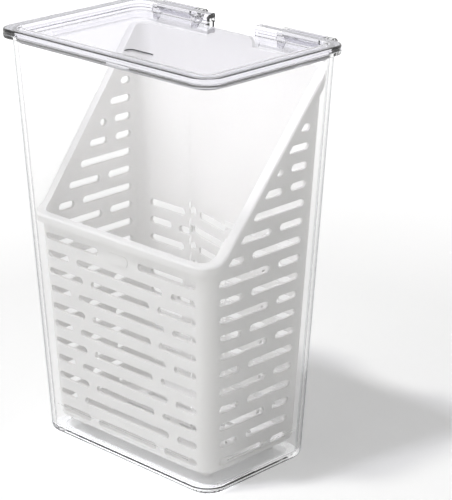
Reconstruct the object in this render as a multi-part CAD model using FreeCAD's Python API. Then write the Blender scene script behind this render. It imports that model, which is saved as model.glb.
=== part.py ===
import FreeCAD, Part

import math
import os

# Upright fridge keeper: a clear tapered box, a white slotted basket that stands in it, and a clear
# hinged lid. Millimetres, +Z up, the low side of the basket and the free edge of the lid face -Y.

# Outer box
BASE_WIDTH = 125.0
BASE_DEPTH = 76.0
BASE_CORNER = 12.0
BOX_HEIGHT = 217.1
DRAFT_DEGREES = 2.6
BOX_WALL = 2.2
BOX_FLOOR = 2.8
BASE_EDGE_ROUND = 2.6
INNER_EDGE_ROUND = 2.0
FOOT_RING_WIDTH = 7.0
FOOT_RING_HEIGHT = 0.8
FILL_LINE_HEIGHT = 17.5
FILL_LINE_SIZE = 0.5
FILL_LINE_FRONT_INSET = 13.5
FILL_LINE_SIDE_INSET = 13.0

# Rim of the box and the lid's matching outline
RIM_FLANGE_SIDE = 2.641547
RIM_FLANGE_DEPTH = 1.641547
RIM_CORNER = 10.0
RIM_BACK_SHIFT = 1.0
RIM_THICKNESS = 2.0
RIM_EDGE_ROUND = 0.6
NOTCH_WIDTH = 34.0
BOX_NOTCH_DEPTH = 11.1
BOX_NOTCH_ROUND = 3.0

# Lid
LID_SEAT_GAP = 0.25
LID_RIM_THICKNESS = 2.5
LID_RIM_ROUND = 1.1
LID_INNER_ROUND = 0.5
LID_WALL = 2.0
LID_PLUG_CLEARANCE = 1.3
LID_PLUG_DEPTH = 4.6
LID_PANEL_THICKNESS = 2.0
LID_CORNER = 6.0
LID_NOTCH_DEPTH = 7.7
THUMB_PAD_LENGTH = 18.0
THUMB_PAD_WIDTH = 6.0
THUMB_PAD_DEPTH = 0.6
THUMB_PAD_INSET = 28.5

# Hinge
HINGE_AXIS_BACK = 3.6
HINGE_AXIS_DROP = 0.9
HINGE_BAR_RADIUS = 1.6
HINGE_CLEARANCE = 0.08
KNUCKLE_RADIUS = 3.2
HINGE_NOTCH_GAP = 11.4
HINGE_END_INSET = 13.7
LUG_WIDTH = 4.0
LUG_SIDE_CLEARANCE = 0.35
LUG_FOOT_DROP = 11.0
KNUCKLE_MOUTH = 2.9

# Basket
BASKET_WALL = 2.0
BASKET_FLOOR = 2.0
BASKET_SIDE_GAP = 4.3
BASKET_FRONT_GAP = 3.3
BASKET_BACK_GAP = 1.9
BASKET_CORNER = 9.0
BASKET_FOOT_HEIGHT = 5.0
BASKET_FOOT_SIZE = 9.0
BASKET_FOOT_INSET = 12.0
BASKET_FOOT_TAPER = 1.0
BASKET_BOTTOM_ROUND = 4.0
BASKET_FRONT_TOP = 123.5
BASKET_BACK_DROP = 10.1
SLOPE_FRONT_INSET = 7.0
SLOPE_BACK_INSET = 0.8
SLOPE_FRONT_ROUND = 12.0
SLOPE_BACK_ROUND = 5.0
LIP_HEIGHT = 4.6
LIP_CLEARANCE = 0.7
LIP_ROUND = 1.4
TAB_SIDE_CLEARANCE = 1.0
TAB_RISE = 5.2
TAB_ROUND = 4.0

# Slots in the basket's walls
SLOT_HEIGHT = 4.0
SLOT_PITCH = 9.75
SLOT_FIRST_Z = 14.0
SLOT_WEB = 6.0
FRONT_SLOT_MARGIN = 7.0
SIDE_SLOT_MARGIN = 9.0
FRONT_ROWS = 11
FRONT_LONG_SLOT = 63.0
FRONT_MIDDLE_SLOT = 43.0
FRONT_GAP_WIDTH = 29.0
SIDE_ROWS = 18
SIDE_SPLIT = 9.5
UPPER_WEB_ROWS = (14, 15)
UPPER_WEB_INSET = 21.2
SLOT_MIN_LENGTH = 4.2
SLOPE_MARGIN = 8.0
FLOOR_SLOT_LENGTH = 34.0
FLOOR_SLOT_SPREAD = 20.0
FLOOR_SLOT_PITCH = 9.0
FLOOR_ROWS = 5
OVAL_PAD_LENGTH = 15.0
OVAL_PAD_HEIGHT = 5.5
OVAL_PAD_RAISE = 0.4

# Worked out from the values above
SLOPE = math.tan(math.radians(DRAFT_DEGREES))
RIM_WIDTH = BASE_WIDTH + 2 * (BOX_HEIGHT * SLOPE + RIM_FLANGE_SIDE)
RIM_DEPTH = BASE_DEPTH + 2 * (BOX_HEIGHT * SLOPE + RIM_FLANGE_DEPTH)
BOX_NOTCH_BOTTOM = BOX_HEIGHT - BOX_NOTCH_DEPTH
LID_NOTCH_BACK = RIM_DEPTH / 2 - LID_NOTCH_DEPTH
THUMB_PAD_Y = THUMB_PAD_INSET - RIM_DEPTH / 2
LID_BOTTOM = BOX_HEIGHT + LID_SEAT_GAP
LID_TOP = LID_BOTTOM + LID_RIM_THICKNESS
PANEL_BOTTOM = LID_BOTTOM - LID_PLUG_DEPTH
PANEL_TOP = PANEL_BOTTOM + LID_PANEL_THICKNESS
HINGE_AXIS_Y = RIM_DEPTH / 2 + HINGE_AXIS_BACK
HINGE_AXIS_Z = BOX_HEIGHT - HINGE_AXIS_DROP
HINGE_INNER_X = NOTCH_WIDTH / 2 + HINGE_NOTCH_GAP
HINGE_OUTER_X = RIM_WIDTH / 2 - HINGE_END_INSET
BASKET_BACK_TOP = BOX_HEIGHT - BASKET_BACK_DROP
SLOPE_FRONT_Y = SLOPE_FRONT_INSET - BASE_DEPTH / 2
SLOPE_BACK_Y = BASE_DEPTH / 2 - SLOPE_BACK_INSET
TAB_WIDTH = NOTCH_WIDTH - 2 * TAB_SIDE_CLEARANCE
TAB_TOP = BASKET_BACK_TOP + TAB_RISE
UPPER_WEB_Y = BASE_DEPTH / 2 - UPPER_WEB_INSET
FILL_LINE_FRONT = BASE_WIDTH - 2 * FILL_LINE_FRONT_INSET
FILL_LINE_SIDE = BASE_DEPTH - 2 * FILL_LINE_SIDE_INSET
BASKET_BOTTOM = BOX_FLOOR + BASKET_FOOT_HEIGHT
FRAME_SHIFT = (HINGE_AXIS_BACK + KNUCKLE_RADIUS) / 2
UP = FreeCAD.Vector(0, 0, 1)


def vec(x, y, z):
    return FreeCAD.Vector(x, y, z)


def rounded_wire(x_min, x_max, y_min, y_max, radius, z):
    """Closed rounded rectangle in a level plane."""
    k = radius * (1 - math.sqrt(0.5))
    points = []
    for x, y, ax, ay, bx, by in (
        (x_max, y_min, -radius, 0, 0, radius),
        (x_max, y_max, 0, -radius, -radius, 0),
        (x_min, y_max, radius, 0, 0, -radius),
        (x_min, y_min, 0, radius, radius, 0),
    ):
        middle = vec(x + math.copysign(k, ax + bx), y + math.copysign(k, ay + by), z)
        points.append((vec(x + ax, y + ay, z), middle, vec(x + bx, y + by, z)))
    edges = []
    for i, (start, middle, end) in enumerate(points):
        edges.append(Part.Arc(start, middle, end).toShape())
        edges.append(Part.LineSegment(end, points[(i + 1) % 4][0]).toShape())
    return Part.Wire(edges)


def tapered(z_low, z_high, inset_side, inset_front, inset_back, radius):
    """Solid between two heights that keeps its insets from the box's tapered faces."""
    half_width = BASE_WIDTH / 2 - inset_side
    front = -BASE_DEPTH / 2 + inset_front + RIM_BACK_SHIFT
    back = BASE_DEPTH / 2 - inset_back + RIM_BACK_SHIFT
    low = z_low * SLOPE
    high = z_high * SLOPE
    solid = Part.makeWedge(-half_width - low, z_low, -back - low, -back - high, -half_width - high,
                           half_width + low, z_high, -front + low, -front + high, half_width + high)
    solid.rotate(vec(0, 0, 0), vec(1, 0, 0), 90)
    uprights = [edge for edge in solid.Edges if edge.BoundBox.ZLength > (z_high - z_low) / 2]
    return solid.makeFillet(radius, uprights)


def plate(x_min, x_max, y_min, y_max, radius, z_low, z_high):
    face = Part.Face(rounded_wire(x_min, x_max, y_min, y_max, radius, z_low))
    return face.extrude(UP * (z_high - z_low))


def edges_at(shape, z, tolerance=0.01):
    """Edges that lie wholly in the level plane at height z."""
    level = []
    for edge in shape.Edges:
        box = edge.BoundBox
        if abs(box.ZMin - z) < tolerance and abs(box.ZMax - z) < tolerance:
            level.append(edge)
    return level


def block(x_min, x_max, y_min, y_max, z_min, z_max):
    return Part.makeBox(x_max - x_min, y_max - y_min, z_max - z_min, vec(x_min, y_min, z_min))


def rod(radius, x_min, x_max, y, z):
    return Part.makeCylinder(radius, x_max - x_min, vec(x_min, y, z), vec(1, 0, 0))


def obround_prism(along, normal, centre, length, height, depth):
    """Slot-shaped prism: long direction and depth direction are unit vectors, height is up."""
    half = (length - height) / 2
    r = height / 2
    a = centre - along * half - normal * (depth / 2)
    b = centre + along * half - normal * (depth / 2)
    up = UP * r
    wire = Part.Wire([
        Part.LineSegment(a - up, b - up).toShape(),
        Part.Arc(b - up, b + along * r, b + up).toShape(),
        Part.LineSegment(b + up, a + up).toShape(),
        Part.Arc(a + up, a - along * r, a - up).toShape(),
    ])
    return Part.Face(wire).extrude(normal * depth)


def save(name, shape):
    """Place a finished piece with the object's middle over the origin, check it and write it."""
    shape = shape.removeSplitter()
    shape.translate(vec(0, -FRAME_SHIFT, 0))
    if shape.ShapeType == "Compound" and len(shape.Solids) == 1:
        shape = shape.Solids[0]
    print(name, "valid", shape.isValid(), "solids", len(shape.Solids), "volume", round(shape.Volume, 1))
    shape.exportStep("parts/" + name + ".step")


def hinge_sides():
    """Inner and outer ends of the two hinges along X."""
    return ((HINGE_INNER_X, HINGE_OUTER_X), (-HINGE_OUTER_X, -HINGE_INNER_X))


def make_lug(x_min):
    """Upright ear behind the box's rim that carries one end of a hinge bar."""
    wall_y = RIM_DEPTH / 2 - 2 * RIM_THICKNESS
    foot_z = HINGE_AXIS_Z - LUG_FOOT_DROP
    r = KNUCKLE_RADIUS
    top = vec(x_min, HINGE_AXIS_Y, HINGE_AXIS_Z + r)
    back = vec(x_min, HINGE_AXIS_Y + r, HINGE_AXIS_Z)
    arc_middle = vec(x_min, HINGE_AXIS_Y + r * math.sqrt(0.5), HINGE_AXIS_Z + r * math.sqrt(0.5))
    front_top = vec(x_min, HINGE_AXIS_Y - r, HINGE_AXIS_Z)
    front_middle = vec(x_min, HINGE_AXIS_Y - r * math.sqrt(0.5), HINGE_AXIS_Z + r * math.sqrt(0.5))
    below_rim = vec(x_min, HINGE_AXIS_Y - r, BOX_HEIGHT - RIM_THICKNESS / 2)
    wall_top = vec(x_min, wall_y, BOX_HEIGHT - RIM_THICKNESS / 2)
    wall_foot = vec(x_min, wall_y, foot_z)
    wire = Part.Wire([
        Part.Arc(back, arc_middle, top).toShape(),
        Part.Arc(top, front_middle, front_top).toShape(),
        Part.LineSegment(front_top, below_rim).toShape(),
        Part.LineSegment(below_rim, wall_top).toShape(),
        Part.LineSegment(wall_top, wall_foot).toShape(),
        Part.LineSegment(wall_foot, back).toShape(),
    ])
    return Part.Face(wire).extrude(vec(LUG_WIDTH, 0, 0))


def make_container():
    outer = tapered(0, BOX_HEIGHT, 0, 0, 0, BASE_CORNER)
    outer = outer.makeFillet(BASE_EDGE_ROUND, edges_at(outer, 0))
    rim = plate(-RIM_WIDTH / 2, RIM_WIDTH / 2, -RIM_DEPTH / 2, RIM_DEPTH / 2, RIM_CORNER,
                BOX_HEIGHT - RIM_THICKNESS, BOX_HEIGHT)
    rim = rim.makeFillet(RIM_EDGE_ROUND, edges_at(rim, BOX_HEIGHT - RIM_THICKNESS))
    body = outer.fuse(rim)
    for x_min, x_max in hinge_sides():
        for lug_x in (x_min, x_max - LUG_WIDTH):
            body = body.fuse(make_lug(lug_x))
        overlap = LUG_WIDTH / 2
        body = body.fuse(rod(HINGE_BAR_RADIUS, x_min + overlap, x_max - overlap,
                             HINGE_AXIS_Y, HINGE_AXIS_Z))
    hollow = tapered(BOX_FLOOR, BOX_HEIGHT + 1, BOX_WALL, BOX_WALL, BOX_WALL, BASE_CORNER - BOX_WALL)
    hollow = hollow.makeFillet(INNER_EDGE_ROUND, edges_at(hollow, BOX_FLOOR))
    body = body.cut(hollow)
    notch = block(-NOTCH_WIDTH / 2, NOTCH_WIDTH / 2, LID_NOTCH_BACK, RIM_DEPTH,
                  BOX_NOTCH_BOTTOM, BOX_HEIGHT + 1)
    lower = []
    for edge in notch.Edges:
        box = edge.BoundBox
        if abs(box.ZMax - BOX_NOTCH_BOTTOM) < 0.01 and box.YLength > 1:
            lower.append(edge)
    body = body.cut(notch.makeFillet(BOX_NOTCH_ROUND, lower))
    inset = FOOT_RING_WIDTH
    recess = plate(-BASE_WIDTH / 2 + inset, BASE_WIDTH / 2 - inset,
                   -BASE_DEPTH / 2 + inset + RIM_BACK_SHIFT, BASE_DEPTH / 2 - inset + RIM_BACK_SHIFT,
                   BASE_CORNER - inset / 2, -1, FOOT_RING_HEIGHT)
    body = body.cut(recess)
    return body.fuse(make_fill_lines())


def make_fill_lines():
    """Fine raised mark low on the front and both sides."""
    grow = FILL_LINE_HEIGHT * SLOPE
    front_y = -BASE_DEPTH / 2 - grow + RIM_BACK_SHIFT
    side_x = BASE_WIDTH / 2 + grow
    size = FILL_LINE_SIZE
    low = FILL_LINE_HEIGHT - size / 2
    high = FILL_LINE_HEIGHT + size / 2
    lines = block(-FILL_LINE_FRONT / 2, FILL_LINE_FRONT / 2, front_y - size / 2, front_y + size, low, high)
    side_low = RIM_BACK_SHIFT - FILL_LINE_SIDE / 2
    side_high = RIM_BACK_SHIFT + FILL_LINE_SIDE / 2
    for x_min, x_max in ((side_x - size, side_x + size / 2), (-side_x - size / 2, -side_x + size)):
        lines = lines.fuse(block(x_min, x_max, side_low, side_high, low, high))
    return lines


def plug_limits(inset):
    """X and Y limits of the lid's sunk part, held off the box's inner faces at the rim."""
    grow = BOX_HEIGHT * SLOPE
    gap = BOX_WALL + LID_PLUG_CLEARANCE + inset
    half_width = BASE_WIDTH / 2 + grow - gap
    half_depth = BASE_DEPTH / 2 + grow - gap
    return -half_width, half_width, RIM_BACK_SHIFT - half_depth, RIM_BACK_SHIFT + half_depth


def make_lid():
    rim = plate(-RIM_WIDTH / 2, RIM_WIDTH / 2, -RIM_DEPTH / 2, RIM_DEPTH / 2, RIM_CORNER,
                LID_BOTTOM, LID_TOP)
    rim = rim.makeFillet(LID_RIM_ROUND, edges_at(rim, LID_TOP))
    plug = plate(*plug_limits(0), LID_CORNER + LID_WALL, PANEL_BOTTOM, LID_TOP - LID_RIM_THICKNESS / 2)
    plug = plug.makeFillet(LID_INNER_ROUND, edges_at(plug, PANEL_BOTTOM))
    dish = plate(*plug_limits(LID_WALL), LID_CORNER, PANEL_TOP, LID_TOP + 1)
    dish = dish.makeFillet(LID_INNER_ROUND, edges_at(dish, PANEL_TOP))
    body = rim.fuse(plug).cut(dish)
    body = body.cut(block(-NOTCH_WIDTH / 2, NOTCH_WIDTH / 2, LID_NOTCH_BACK, RIM_DEPTH,
                          PANEL_BOTTOM - 1, LID_TOP + 1))
    for x_min, x_max in hinge_sides():
        gap = LUG_WIDTH + LUG_SIDE_CLEARANCE
        body = body.fuse(make_knuckle(x_min + gap, x_max - gap))
    pad = obround_flat(THUMB_PAD_LENGTH, THUMB_PAD_WIDTH, 0, THUMB_PAD_Y, PANEL_TOP - THUMB_PAD_DEPTH,
                       2 * THUMB_PAD_DEPTH)
    return body.cut(pad)


def obround_flat(length, width, x, y, z, height):
    """Slot-shaped prism that lies level about (x, y), long along X, upwards from z."""
    r = width / 2
    low = x - length / 2 + r
    high = x + length / 2 - r
    wire = Part.Wire([
        Part.LineSegment(vec(low, y - r, z), vec(high, y - r, z)).toShape(),
        Part.Arc(vec(high, y - r, z), vec(high + r, y, z), vec(high, y + r, z)).toShape(),
        Part.LineSegment(vec(high, y + r, z), vec(low, y + r, z)).toShape(),
        Part.Arc(vec(low, y + r, z), vec(low - r, y, z), vec(low, y - r, z)).toShape(),
    ])
    return Part.Face(wire).extrude(UP * height)


def make_knuckle(x_min, x_max):
    """Hook that snaps down over a hinge bar, open below so that the lid can be pulled off."""
    barrel = rod(KNUCKLE_RADIUS, x_min, x_max, HINGE_AXIS_Y, HINGE_AXIS_Z)
    bridge = block(x_min, x_max, RIM_DEPTH / 2 - LID_RIM_ROUND * 2, HINGE_AXIS_Y,
                   LID_BOTTOM, HINGE_AXIS_Z + KNUCKLE_RADIUS)
    hook = barrel.fuse(bridge)
    bore = rod(HINGE_BAR_RADIUS + HINGE_CLEARANCE, x_min - 1, x_max + 1, HINGE_AXIS_Y, HINGE_AXIS_Z)
    mouth = block(x_min - 1, x_max + 1, HINGE_AXIS_Y - KNUCKLE_MOUTH / 2, HINGE_AXIS_Y + KNUCKLE_MOUTH / 2,
                  HINGE_AXIS_Z - KNUCKLE_RADIUS - 1, HINGE_AXIS_Z)
    return hook.cut(bore).cut(mouth)


def rim_profile(drop):
    """Side view of the basket's top edge as a wire that closes far below, lowered by drop."""
    run = SLOPE_BACK_Y - SLOPE_FRONT_Y
    rise = BASKET_BACK_TOP - BASKET_FRONT_TOP
    length = math.hypot(run, rise)
    angle = math.atan2(rise, run)
    down = drop * math.tan(angle / 2)
    low = vec(0, SLOPE_FRONT_Y + down, BASKET_FRONT_TOP - drop)
    high = vec(0, SLOPE_BACK_Y + down, BASKET_BACK_TOP - drop)
    along = vec(0, run / length, rise / length)
    level = vec(0, 1, 0)
    front_tangent = (SLOPE_FRONT_ROUND + drop) * math.tan(angle / 2)
    back_tangent = max(SLOPE_BACK_ROUND - drop, 0.5) * math.tan(angle / 2)
    front_round = SLOPE_FRONT_ROUND + drop
    back_round = max(SLOPE_BACK_ROUND - drop, 0.5)
    a = low - level * front_tangent
    b = low + along * front_tangent
    c = high - along * back_tangent
    d = high + level * back_tangent
    front_middle = a + UP * front_round - vec(0, -math.sin(angle / 2), math.cos(angle / 2)) * front_round
    back_middle = d - UP * back_round + vec(0, -math.sin(angle / 2), math.cos(angle / 2)) * back_round
    reach = RIM_DEPTH
    start = vec(0, -reach, a.z)
    end = vec(0, reach, d.z)
    bottom_end = vec(0, reach, -reach)
    bottom_start = vec(0, -reach, -reach)
    return Part.Wire([
        Part.LineSegment(start, a).toShape(),
        Part.Arc(a, front_middle, b).toShape(),
        Part.LineSegment(b, c).toShape(),
        Part.Arc(c, back_middle, d).toShape(),
        Part.LineSegment(d, end).toShape(),
        Part.LineSegment(end, bottom_end).toShape(),
        Part.LineSegment(bottom_end, bottom_start).toShape(),
        Part.LineSegment(bottom_start, start).toShape(),
    ])


def below_rim(drop):
    """Everything under the basket's top edge lowered by drop, across the full width."""
    face = Part.Face(rim_profile(drop))
    solid = face.extrude(vec(2 * RIM_WIDTH, 0, 0))
    solid.translate(vec(-RIM_WIDTH, 0, 0))
    return solid


def basket_limits(z, inset):
    """Half width, front and back of the basket's outer faces at height z, moved in by inset."""
    grow = z * SLOPE
    half_width = BASE_WIDTH / 2 + grow - BOX_WALL - BASKET_SIDE_GAP - inset
    front = -BASE_DEPTH / 2 - grow + BOX_WALL + BASKET_FRONT_GAP + inset + RIM_BACK_SHIFT
    back = BASE_DEPTH / 2 + grow - BOX_WALL - BASKET_BACK_GAP - inset + RIM_BACK_SHIFT
    return half_width, front, back


def basket_solid(z_low, z_high, inset, radius):
    return tapered(z_low, z_high, BOX_WALL + BASKET_SIDE_GAP + inset,
                   BOX_WALL + BASKET_FRONT_GAP + inset, BOX_WALL + BASKET_BACK_GAP + inset, radius)


def make_lip(inner):
    """Rolled rim: a band outside the wall that follows the top edge down the sloping sides."""
    side = BOX_WALL + LIP_CLEARANCE
    band = tapered(BASKET_BOTTOM, BASKET_BACK_TOP + 1, side, side, BOX_WALL + LIP_CLEARANCE,
                   BASKET_CORNER + LIP_ROUND)
    band = band.common(below_rim(0))
    edges = []
    for edge in band.Edges:
        box = edge.BoundBox
        if box.ZMin > BASKET_FRONT_TOP - 0.01:
            edges.append(edge)
    band = band.makeFillet(LIP_ROUND, edges)
    return band.cut(below_rim(LIP_HEIGHT)).cut(inner)


def slot_rows(count):
    for row in range(count):
        yield row, SLOT_FIRST_Z + row * SLOT_PITCH


def top_edge_at(y):
    """Height of the basket's top edge at y, along the straight slope."""
    if y <= SLOPE_FRONT_Y:
        return BASKET_FRONT_TOP
    if y >= SLOPE_BACK_Y:
        return BASKET_BACK_TOP
    share = (y - SLOPE_FRONT_Y) / (SLOPE_BACK_Y - SLOPE_FRONT_Y)
    return BASKET_FRONT_TOP + share * (BASKET_BACK_TOP - BASKET_FRONT_TOP)


def front_slots():
    """Brick pattern of slots: two or three in a row, and a bare pad in the top row."""
    cutters = []
    for row, z in slot_rows(FRONT_ROWS):
        half_width, front, back = basket_limits(z, 0)
        reach = half_width - FRONT_SLOT_MARGIN
        if row == FRONT_ROWS - 1:
            spans = [(-reach, -FRONT_GAP_WIDTH / 2), (FRONT_GAP_WIDTH / 2, reach)]
        else:
            middle = FRONT_MIDDLE_SLOT if row % 2 == 0 else FRONT_LONG_SLOT
            inner = middle / 2 + SLOT_WEB
            spans = [(-reach, -inner), (-middle / 2, middle / 2), (inner, reach)]
        for low, high in spans:
            centre = vec((low + high) / 2, front, z)
            cutters.append(obround_prism(vec(1, 0, 0), vec(0, 1, 0), centre, high - low,
                                         SLOT_HEIGHT, 6 * BASKET_WALL))
    return cutters


def side_spans(row, z):
    """Slots along Y in one row of a side wall, cut short where the sloping rim passes."""
    half_width, front, back = basket_limits(z, 0)
    low = front + SIDE_SLOT_MARGIN
    high = back - SIDE_SLOT_MARGIN - BASKET_WALL
    centre = (low + high) / 2
    sign = 1 if row % 2 == 0 else -1
    web_centre = UPPER_WEB_Y if row in UPPER_WEB_ROWS else centre + sign * SIDE_SPLIT
    spans = []
    for start, end in ((low, web_centre - SLOT_WEB / 2), (web_centre + SLOT_WEB / 2, high)):
        while start < end and top_edge_at(start) - z < SLOPE_MARGIN + LIP_HEIGHT:
            start += 0.25
        if end - start >= SLOT_MIN_LENGTH:
            spans.append((start, end))
    return spans


def side_slots():
    cutters = []
    for row, z in slot_rows(SIDE_ROWS):
        half_width = basket_limits(z, 0)[0]
        for low, high in side_spans(row, z):
            centre = vec(0, (low + high) / 2, z)
            cutters.append(obround_prism(vec(0, 1, 0), vec(1, 0, 0), centre, high - low,
                                         SLOT_HEIGHT, 2 * half_width + 4 * BASKET_WALL))
    return cutters


def back_slots():
    """The back wall is slotted up to the height of the front rim, and plain above it."""
    cutters = []
    for row, z in slot_rows(FRONT_ROWS):
        half_width, front, back = basket_limits(z, 0)
        reach = half_width - FRONT_SLOT_MARGIN
        middle = FRONT_MIDDLE_SLOT if row % 2 == 0 else FRONT_LONG_SLOT
        inner = middle / 2 + SLOT_WEB
        for low, high in ((-reach, -inner), (-middle / 2, middle / 2), (inner, reach)):
            centre = vec((low + high) / 2, back, z)
            cutters.append(obround_prism(vec(1, 0, 0), vec(0, 1, 0), centre, high - low,
                                         SLOT_HEIGHT, 6 * BASKET_WALL))
    return cutters


def floor_slots():
    """Drain slots in the basket's floor, long along X, in rows of two."""
    cutters = []
    for row in range(FLOOR_ROWS):
        y = RIM_BACK_SHIFT + (row - (FLOOR_ROWS - 1) / 2) * FLOOR_SLOT_PITCH
        for x in (-FLOOR_SLOT_SPREAD, FLOOR_SLOT_SPREAD):
            cutters.append(obround_flat(FLOOR_SLOT_LENGTH, SLOT_HEIGHT, x, y, BASKET_BOTTOM - 1,
                                        BASKET_FLOOR + 2))
    return cutters


def make_basket():
    outer = basket_solid(BASKET_BOTTOM, BASKET_BACK_TOP + 1, 0, BASKET_CORNER)
    outer = outer.makeFillet(BASKET_BOTTOM_ROUND, edges_at(outer, BASKET_BOTTOM))
    inner = basket_solid(BASKET_BOTTOM + BASKET_FLOOR, TAB_TOP + 1, BASKET_WALL, BASKET_CORNER - BASKET_WALL)
    inner = inner.makeFillet(BASKET_BOTTOM_ROUND - BASKET_FLOOR / 2,
                             edges_at(inner, BASKET_BOTTOM + BASKET_FLOOR))
    shell = outer.cut(inner).common(below_rim(LIP_HEIGHT / 2))
    shell = shell.fuse(make_lip(inner))
    shell = shell.cut(Part.makeCompound(front_slots() + back_slots()))
    shell = shell.cut(Part.makeCompound(side_slots()))
    shell = shell.cut(Part.makeCompound(floor_slots()))
    half_width, front, back = basket_limits(BASKET_BOTTOM, BASKET_FOOT_INSET)
    for x in (-half_width, half_width):
        for y in (front, back):
            foot = Part.makeCone(BASKET_FOOT_SIZE / 2 - BASKET_FOOT_TAPER, BASKET_FOOT_SIZE / 2,
                                 BASKET_FOOT_HEIGHT + BASKET_FLOOR / 2, vec(x, y, BOX_FLOOR))
            shell = shell.fuse(foot)
    top_row_z = SLOT_FIRST_Z + (FRONT_ROWS - 1) * SLOT_PITCH
    front_y = basket_limits(top_row_z, 0)[1]
    pad = obround_prism(vec(1, 0, 0), vec(0, 1, 0), vec(0, front_y, top_row_z), OVAL_PAD_LENGTH,
                        OVAL_PAD_HEIGHT, 2 * OVAL_PAD_RAISE)
    return shell.fuse(pad)


def make_tab():
    """Finger tab: it stands on the middle of the basket's back rim, in the notch between the hinges."""
    wall = basket_solid(BASKET_BOTTOM, TAB_TOP, 0, BASKET_CORNER)
    hollow = basket_solid(BASKET_BOTTOM - 1, TAB_TOP + 1, BASKET_WALL, BASKET_CORNER - BASKET_WALL)
    window = block(-TAB_WIDTH / 2, TAB_WIDTH / 2, 0, RIM_DEPTH, BASKET_BACK_TOP, TAB_TOP)
    upper = []
    for edge in window.Edges:
        box = edge.BoundBox
        if abs(box.ZMin - TAB_TOP) < 0.01 and box.YLength > 1:
            upper.append(edge)
    return wall.cut(hollow).common(window.makeFillet(TAB_ROUND, upper))


os.makedirs("parts", exist_ok=True)
save("outer_container", make_container())
save("slotted_basket", make_basket())
save("lift_tab", make_tab())
save("hinged_lid", make_lid())
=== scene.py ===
import bmesh
import bpy
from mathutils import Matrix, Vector

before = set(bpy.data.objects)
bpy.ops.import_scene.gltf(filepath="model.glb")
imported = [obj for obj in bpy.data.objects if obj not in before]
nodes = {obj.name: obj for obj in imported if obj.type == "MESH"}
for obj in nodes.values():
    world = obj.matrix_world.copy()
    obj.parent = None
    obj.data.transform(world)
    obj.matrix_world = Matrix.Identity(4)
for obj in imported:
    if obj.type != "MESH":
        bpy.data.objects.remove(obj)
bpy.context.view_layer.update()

# Outer container. A clear styrene-acrylonitrile box, injection moulded with its rim, its hinge
# ears and the bars that the lid hooks over. It stands on a narrow ring under its base.
CLEAR_TINT = "FBFBFB"
# The next two set painted shade: the dark colour that the box's wall is painted towards where it is
# seen edge-on, in place of refraction lines, and the span of facing over which it comes in.
CLEAR_PAINTED_EDGE_SHADE = "5A6066"
CLEAR_PAINTED_EDGE_SPAN = (0.42, 0.85)
SHADOW_TINT = "E9E9EB"
CLEAR_IOR = 1.57
CLEAR_ROUGHNESS = 0.025
CLEAR_WAVE_DEPTH_MM = 0.05
MOULD_WAVE_MM = 38.0
MOULD_WAVE_DETAIL = 1.0
MOULD_WAVE_ROUGHNESS = 0.4
MOULD_WAVE_STRENGTH = 0.35
FACING_BLEND = 0.5

# Sockets of a Mix node in colour mode, which share their names with its other modes.
MIX_FIRST = 6
MIX_SECOND = 7
MIX_COLOUR = 2


def linear(hex_colour, alpha=1.0):
    """sRGB hex to the linear colour that the shaders take."""
    parts = [int(hex_colour[i:i + 2], 16) / 255 for i in (0, 2, 4)]
    bent = [c / 12.92 if c <= 0.04045 else ((c + 0.055) / 1.055) ** 2.4 for c in parts]
    return (*bent, alpha)


def add_node(owner, kind, settings=(), inputs=(), links=()):
    """New node in a material or a world, with its settings, its input values, and the output
    socket that each linked input takes."""
    node = owner.node_tree.nodes.new(kind)
    for name, value in dict(settings).items():
        setattr(node, name, value)
    for name, value in dict(inputs).items():
        node.inputs[name].default_value = value
    for name, socket in dict(links).items():
        owner.node_tree.links.new(socket, node.inputs[name])
    return node


def per_metre(size_mm):
    """Scale of a noise whose features are size_mm apart on coordinates in metres."""
    return 1000.0 / size_mm


def blank_material(name):
    """New material with an empty node tree."""
    material = bpy.data.materials.new(name)
    material.use_nodes = True
    material.node_tree.nodes.clear()
    return material


def coat(piece, material):
    """The piece in one material and no other."""
    piece.data.materials.clear()
    piece.data.materials.append(material)


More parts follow.
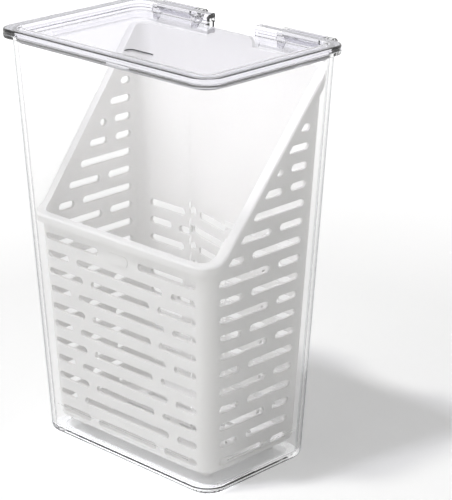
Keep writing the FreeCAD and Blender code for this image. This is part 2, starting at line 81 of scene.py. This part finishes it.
def clear_moulded_plastic(name, tint, painted_edge_shade, painted_edge_span, roughness, wave_mm, wave_depth_mm):
    """Polished clear moulding: sharp highlights, edges painted darker where the wall is seen along
    itself (painted shade in place of the dark lines that refraction draws there), a pale shadow,
    and the faint slow waviness that the mould leaves."""
    material = blank_material(name)
    where = add_node(material, "ShaderNodeTexCoord")
    waves = add_node(material, "ShaderNodeTexNoise",
                     inputs={"Scale": per_metre(wave_mm), "Detail": MOULD_WAVE_DETAIL,
                             "Roughness": MOULD_WAVE_ROUGHNESS},
                     links={"Vector": where.outputs["Object"]})
    bump = add_node(material, "ShaderNodeBump",
                    inputs={"Strength": MOULD_WAVE_STRENGTH, "Distance": wave_depth_mm / 1000},
                    links={"Height": waves.outputs["Fac"]})
    # Painted shade: the base colour turns darker where the wall is seen at a grazing angle, in
    # place of the dark lines that refraction draws along clear edges.
    grazing = add_node(material, "ShaderNodeLayerWeight", inputs={"Blend": FACING_BLEND})
    painted_edge_shade_mask = add_node(material, "ShaderNodeMapRange",
                          settings={"interpolation_type": "SMOOTHSTEP"},
                          inputs={"From Min": painted_edge_span[0], "From Max": painted_edge_span[1]},
                          links={"Value": grazing.outputs["Facing"]})
    colour = add_node(material, "ShaderNodeMix", settings={"data_type": "RGBA"},
                      inputs={MIX_FIRST: linear(tint), MIX_SECOND: linear(painted_edge_shade)},
                      links={"Factor": painted_edge_shade_mask.outputs["Result"]})
    body = add_node(material, "ShaderNodeBsdfPrincipled",
                    inputs={"Roughness": roughness, "IOR": CLEAR_IOR, "Transmission Weight": 1.0},
                    links={"Base Color": colour.outputs[MIX_COLOUR],
                           "Normal": bump.outputs["Normal"]})
    # Real clear plastic lets the lamps through to what is inside it.
    rays = add_node(material, "ShaderNodeLightPath")
    passed = add_node(material, "ShaderNodeBsdfTransparent", inputs={"Color": linear(SHADOW_TINT)})
    mix = add_node(material, "ShaderNodeMixShader",
                   links={0: rays.outputs["Is Shadow Ray"], 1: body.outputs["BSDF"],
                          2: passed.outputs["BSDF"]})
    add_node(material, "ShaderNodeOutputMaterial", links={"Surface": mix.outputs["Shader"]})
    return material


container = nodes["outer_container"]
coat(container, clear_moulded_plastic(
    "clear moulded SAN, box", CLEAR_TINT, CLEAR_PAINTED_EDGE_SHADE, CLEAR_PAINTED_EDGE_SPAN, CLEAR_ROUGHNESS,
    MOULD_WAVE_MM, CLEAR_WAVE_DEPTH_MM))

# Slotted basket. One thin injection moulding in white polypropylene, with a rolled rim that follows
# its sloping sides, rows of drain slots, and a tab at the back to lift it by.
BASKET_WHITE = "F1F0EE"
BASKET_SHADE = "EAE9E7"
BASKET_ROUGHNESS = 0.38
BASKET_IOR = 1.49
BLEED_SHARE = 0.18
BLEED_DEPTH_MM = 4.0
BLEED_RADIUS = (1.0, 1.0, 0.96)
FLOW_MM = 45.0
FLOW_DETAIL = 2.0
FLOW_ROUGHNESS = 0.5
# The spark texture is finer than this on the real wall, and is drawn coarser so that it shows.
GRAIN_MM = 0.9
GRAIN_DEPTH_MM = 0.06
GRAIN_STRENGTH = 0.12
GRAIN_DETAIL = 3.0
GRAIN_ROUGHNESS = 0.6


def white_polypropylene():
    """Satin moulded polypropylene: soft highlights, a very fine spark texture, and light that
    bleeds a little through the thin walls, so that its shadows stay pale."""
    material = blank_material("white moulded polypropylene")
    where = add_node(material, "ShaderNodeTexCoord")
    flow = add_node(material, "ShaderNodeTexNoise",
                    inputs={"Scale": per_metre(FLOW_MM), "Detail": FLOW_DETAIL,
                            "Roughness": FLOW_ROUGHNESS},
                    links={"Vector": where.outputs["Object"]})
    colour = add_node(material, "ShaderNodeMix", settings={"data_type": "RGBA"},
                      inputs={MIX_FIRST: linear(BASKET_WHITE), MIX_SECOND: linear(BASKET_SHADE)},
                      links={"Factor": flow.outputs["Fac"]})
    grain = add_node(material, "ShaderNodeTexNoise",
                     inputs={"Scale": per_metre(GRAIN_MM), "Detail": GRAIN_DETAIL,
                             "Roughness": GRAIN_ROUGHNESS},
                     links={"Vector": where.outputs["Object"]})
    bump = add_node(material, "ShaderNodeBump",
                    inputs={"Strength": GRAIN_STRENGTH, "Distance": GRAIN_DEPTH_MM / 1000},
                    links={"Height": grain.outputs["Fac"]})
    body = add_node(material, "ShaderNodeBsdfPrincipled",
                    inputs={"Roughness": BASKET_ROUGHNESS, "IOR": BASKET_IOR,
                            "Subsurface Weight": BLEED_SHARE,
                            "Subsurface Scale": BLEED_DEPTH_MM / 1000,
                            "Subsurface Radius": BLEED_RADIUS},
                    links={"Base Color": colour.outputs[MIX_COLOUR],
                           "Normal": bump.outputs["Normal"]})
    add_node(material, "ShaderNodeOutputMaterial", links={"Surface": body.outputs["BSDF"]})
    return material


basket_plastic = white_polypropylene()
for name in ("slotted_basket", "lift_tab"):
    moulding = nodes[name]
    coat(moulding, basket_plastic)

# Hinged lid. A clear styrene-acrylonitrile moulding: a sunk flat panel in a raised rim, cut away at
# the back for the tab, with two hooks that snap down over the hinge bars.
LID_TINT = "F2F1F7"
# The next two set painted shade on the lid: the dark colour that it is painted towards where it is
# seen edge-on, in place of refraction lines, and the span of facing over which it comes in.
LID_PAINTED_EDGE_SHADE = "4A4A58"
LID_PAINTED_EDGE_SPAN = (0.68, 1.0)
LID_ROUGHNESS = 0.03
LID_WAVE_DEPTH_MM = 0.04

lid = nodes["hinged_lid"]
coat(lid, clear_moulded_plastic(
    "clear moulded SAN, lid", LID_TINT, LID_PAINTED_EDGE_SHADE, LID_PAINTED_EDGE_SPAN, LID_ROUGHNESS, MOULD_WAVE_MM,
    LID_WAVE_DEPTH_MM))

# The set: a plain white floor that keeps the shadow, soft lamps, and the camera worked out from the
# object's straight edges.
FLOOR_SIZE_M = 6.0
FLOOR_LIFT = 0.33
FLOOR_NEAR_M = 0.25
FLOOR_FAR_M = 1.1
FLOOR_ROUGHNESS = 0.9
AMBIENT_TINT = "F8F7F6"
AMBIENT_STRENGTH = 0.18
# Name, place, what it faces, side of its square in metres, watts.
SOFT_LAMPS = (
    ("key lamp, high in front", (-0.52, -1.36, 3.6), (0, 0, 0.05), 0.3, 60),
    ("front fill", (-0.6, -2.0, 0.9), (0, 0, 0.1), 1.6, 9.5),
    ("right fill", (1.9, -0.1, 1.0), (0, 0, 0.1), 1.4, 0.4),
)
CAMERA_PLACE = (0.6912, -0.6737, 0.4588)
CAMERA_AIM = (0.02558, 0.01028, 0.10977)
CAMERA_LENS_MM = 143.88
SENSOR_WIDTH_MM = 36.0


def add_white_where_seen(owner, lit_shader, keep_lit=False, strength=None):
    """White where the camera looks straight at it, or sees it mirrored or through clear plastic.
    With keep_lit the white is added to the lit surface, so that its shadows stay. strength is a
    socket, and without one it is 1."""
    rays = add_node(owner, "ShaderNodeLightPath")
    white = add_node(owner, "ShaderNodeEmission",
                     inputs={"Color": linear("FFFFFF"), "Strength": 1.0},
                     links={"Strength": strength} if strength else {})
    shown = white.outputs["Emission"]
    if keep_lit:
        shown = add_node(owner, "ShaderNodeAddShader",
                         links={0: lit_shader, 1: shown}).outputs["Shader"]
    seen = rays.outputs["Is Camera Ray"]
    for name in ("Is Glossy Ray", "Is Transmission Ray"):
        seen = add_node(owner, "ShaderNodeMath", settings={"operation": "MAXIMUM"},
                        links={0: seen, 1: rays.outputs[name]}).outputs["Value"]
    return add_node(owner, "ShaderNodeMixShader",
                    links={0: seen, 1: lit_shader, 2: shown}).outputs["Shader"]


def toward(place, aim):
    """Turn of a lamp or camera that stands at place and faces aim."""
    return (Vector(aim) - Vector(place)).to_track_quat("-Z", "Y").to_euler()


world = bpy.data.worlds.new("plain white studio")
bpy.context.scene.world = world
world.use_nodes = True
world.node_tree.nodes.clear()
ambient = add_node(world, "ShaderNodeBackground",
                   inputs={"Color": linear(AMBIENT_TINT), "Strength": AMBIENT_STRENGTH})
add_node(world, "ShaderNodeOutputWorld",
         links={"Surface": add_white_where_seen(world, ambient.outputs["Background"])})

mesh = bpy.data.meshes.new("floor")
bm = bmesh.new()
bmesh.ops.create_grid(bm, x_segments=1, y_segments=1, size=FLOOR_SIZE_M / 2)
bm.to_mesh(mesh)
bm.free()
floor = bpy.data.objects.new("floor", mesh)
bpy.context.scene.collection.objects.link(floor)
floor_paint = blank_material("white floor paint")
floor_body = add_node(floor_paint, "ShaderNodeBsdfPrincipled",
                      inputs={"Base Color": linear("FFFFFF"), "Roughness": FLOOR_ROUGHNESS,
                              "Specular IOR Level": 0.0})
# Away from the box the floor turns fully white, so that no horizon shows.
floor_place = add_node(floor_paint, "ShaderNodeTexCoord")
from_box = add_node(floor_paint, "ShaderNodeVectorMath", settings={"operation": "LENGTH"},
                    links={"Vector": floor_place.outputs["Object"]})
lift = add_node(floor_paint, "ShaderNodeMapRange",
                inputs={"From Min": FLOOR_NEAR_M, "From Max": FLOOR_FAR_M, "To Min": FLOOR_LIFT,
                        "To Max": 1.0},
                links={"Value": from_box.outputs["Value"]})
floor_shown = add_white_where_seen(floor_paint, floor_body.outputs["BSDF"], keep_lit=True,
                                   strength=lift.outputs["Result"])
add_node(floor_paint, "ShaderNodeOutputMaterial", links={"Surface": floor_shown})
mesh.materials.append(floor_paint)

for name, place, aim, size_m, watts in SOFT_LAMPS:
    light = bpy.data.lights.new(name, "AREA")
    light.shape = "SQUARE"
    light.size = size_m
    light.energy = watts
    lamp = bpy.data.objects.new(name, light)
    lamp.location = place
    lamp.rotation_euler = toward(place, aim)
    bpy.context.scene.collection.objects.link(lamp)

camera_data = bpy.data.cameras.new("camera")
camera_data.lens = CAMERA_LENS_MM
camera_data.sensor_width = SENSOR_WIDTH_MM
camera_data.sensor_fit = "AUTO"
camera = bpy.data.objects.new("camera", camera_data)
camera.location = CAMERA_PLACE
camera.rotation_euler = toward(CAMERA_PLACE, CAMERA_AIM)
bpy.context.scene.collection.objects.link(camera)
bpy.context.scene.camera = camera
bpy.context.scene.view_settings.view_transform = "Standard"
